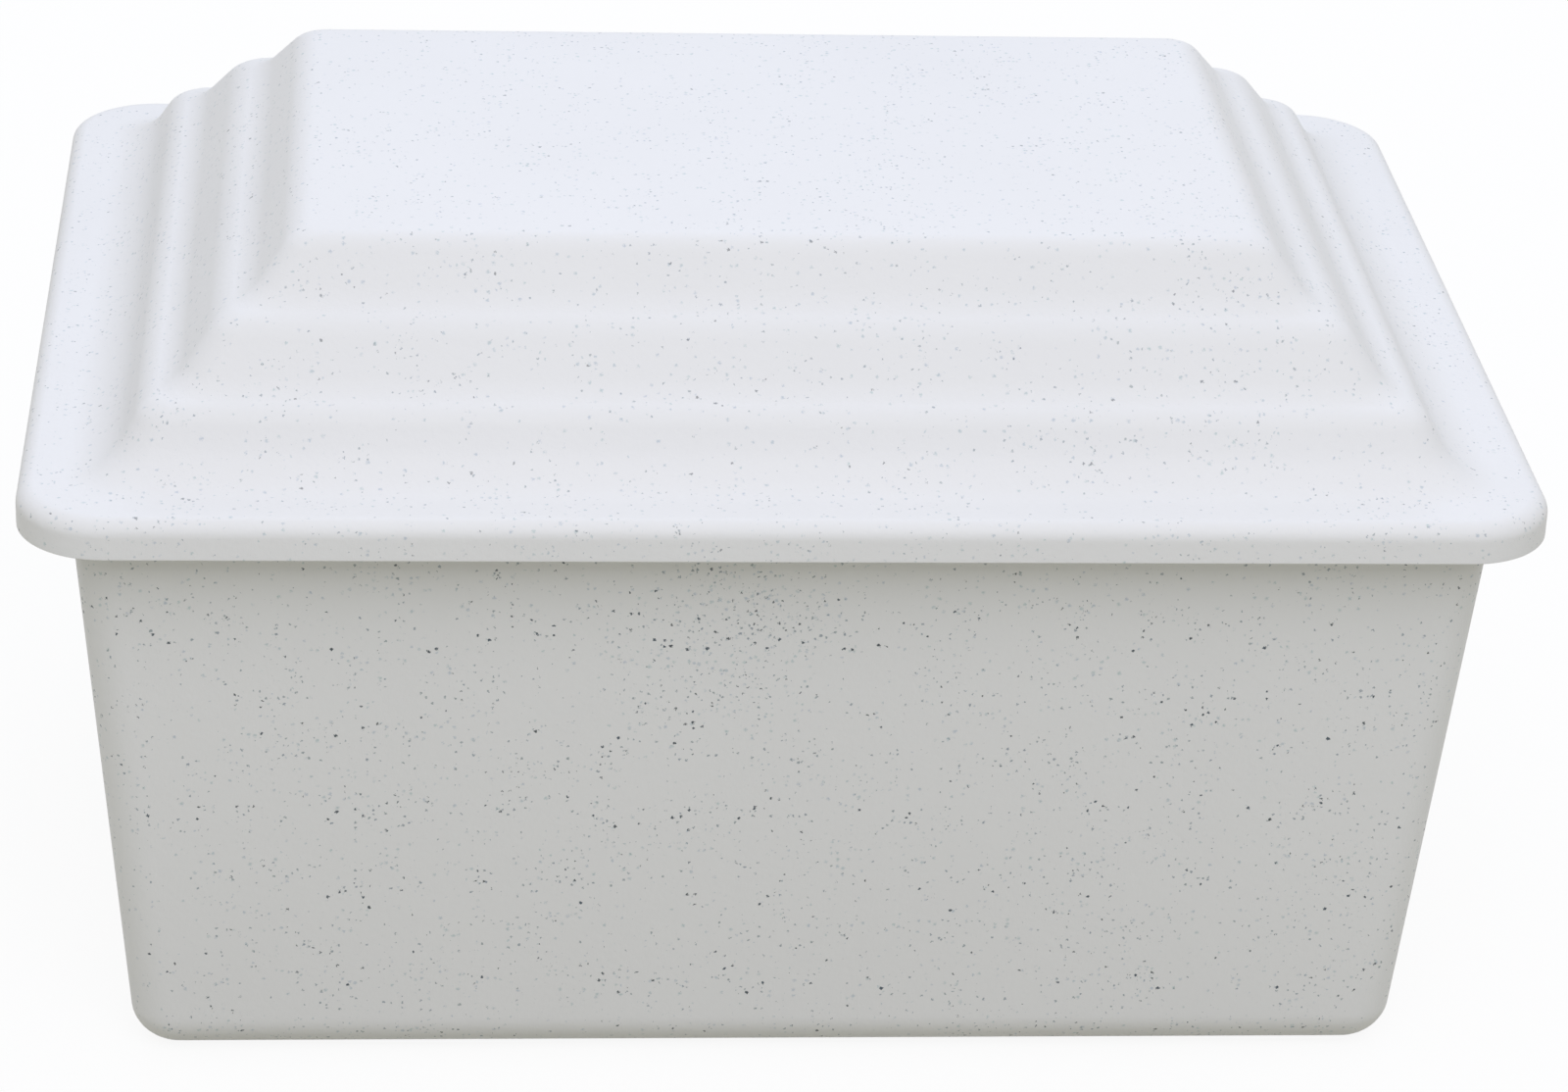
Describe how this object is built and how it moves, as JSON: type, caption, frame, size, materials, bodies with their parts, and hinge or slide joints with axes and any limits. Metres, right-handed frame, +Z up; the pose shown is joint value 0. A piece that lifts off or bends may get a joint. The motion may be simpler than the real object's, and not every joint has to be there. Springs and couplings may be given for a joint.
{
  "type": "pet casket",
  "caption": "Rectangular moulded casket in speckled plastic: a drafted tub closed by a lift-off lid that rises in soft steps to a flat top.",
  "frame": {"origin": "centre of the footprint, on the ground under the tub", "axes": "+X along the length, +Y towards the back, +Z up"},
  "size_m": [0.61, 0.457, 0.3428],
  "materials": {
    "lid_plastic": "satin, white with fine blue-grey flecks",
    "tub_plastic": "satin, white with fine blue-grey flecks",
    "seal_foam": "matt closed-cell foam"
  },
  "bodies": {
    "tub": {"tub_shell": "tub_plastic", "rim_seal": "seal_foam"},
    "lid": {"lid_shell": "lid_plastic"}
  },
  "joints": [
    {"name": "lid_lift", "type": "slide", "parent": "tub", "child": "lid", "axis": [0, 0, 1], "range_m": [0, 0.3]}
  ]
}
